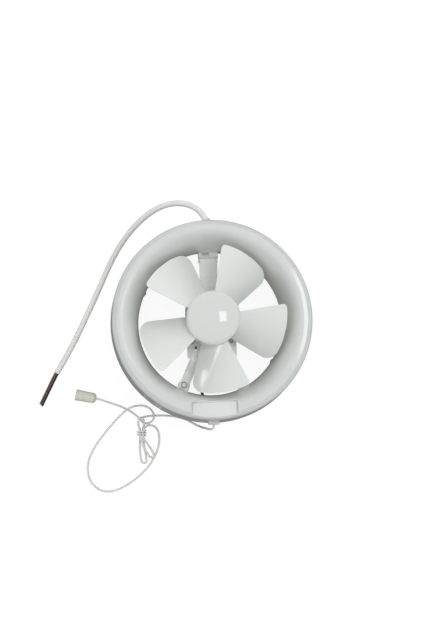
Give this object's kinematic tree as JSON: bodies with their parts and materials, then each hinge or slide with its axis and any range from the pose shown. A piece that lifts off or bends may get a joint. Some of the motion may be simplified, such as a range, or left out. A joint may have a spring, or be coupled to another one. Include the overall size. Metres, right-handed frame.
{
  "type": "window exhaust fan",
  "caption": "Round exhaust fan for a window pane: flared ring, axial impeller on a bracketed motor, clamp ring behind the pane, pull-cord switch and supply cable.",
  "frame": {"origin": "under the middle of the fan, on the plane its clamp ring stands on", "axes": "+Z along the fan's axis towards the room, +Y towards the supply cable, -Y towards the pull cord"},
  "size_m": [0.2895, 0.3049, 0.111],
  "materials": {
    "ring_plastic": "semi-gloss moulded",
    "plate_plastic": "satin, bare",
    "blade_plastic": "glossy moulded",
    "foam": "matt foam rubber",
    "bracket_paint": "semi-matt paint",
    "zinc": "zinc plated",
    "cast": "die cast",
    "laminations": "varnished laminations",
    "copper": "enamelled copper",
    "bronze": "sintered",
    "steel": "ground",
    "grommet_rubber": "matt",
    "lead_black": "matt",
    "nylon": "matt",
    "phenolic": "matt",
    "brass": "bright",
    "cord_white": "braided",
    "knob_plastic": "cream, semi-gloss",
    "jacket": "satin jacket",
    "core_brown": "satin",
    "core_blue": "satin"
  },
  "bodies": {
    "frame": {"front_ring": "ring_plastic", "nameplate": "plate_plastic", "rear_tube": "ring_plastic", "ring_screws": "zinc", "pane_gasket": "foam", "clamp_ring": "ring_plastic", "clamp_screws": "zinc", "motor_bracket": "bracket_paint", "bracket_screws": "zinc", "front_shield": "cast", "rear_shield": "cast", "stator_core": "laminations", "stator_windings": "copper", "front_bearing": "bronze", "rear_bearing": "bronze", "bearing_springs": "steel", "motor_bolts": "zinc", "cable_grommet": "grommet_rubber", "supply_tail": "jacket", "terminal_block": "nylon", "motor_lead": "lead_black", "switch_return": "lead_black", "switch_feed": "core_brown", "switch_case": "phenolic", "switch_lid": "phenolic", "switch_contacts": "brass", "switch_spring": "steel", "cord_nozzle": "ring_plastic", "power_cord": "jacket", "core_brown": "core_brown", "core_blue": "core_blue"},
    "fan": {"impeller": "blade_plastic", "hub_clip": "steel", "shaft": "steel", "rotor_core": "cast", "thrust_collars": "nylon"},
    "pull": {"switch_plunger": "nylon", "pull_cord_inner": "cord_white", "pull_cord_lead": "cord_white", "pull_cord_hank": "cord_white", "pull_cord_loop": "cord_white", "pull_cord_tail": "cord_white", "hank_tie": "cord_white", "pull_knob": "knob_plastic"}
  },
  "joints": [
    {"name": "impeller_spin", "type": "hinge", "parent": "frame", "child": "fan", "pos_m": [0, 0, 0], "axis": [0, 0, 1], "continuous": true},
    {"name": "cord_pull", "type": "slide", "parent": "frame", "child": "pull", "axis": [0, -1, 0], "range_m": [0, 0.006], "stiffness_N_per_m": 400, "deforming": ["switch_spring"]}
  ]
}
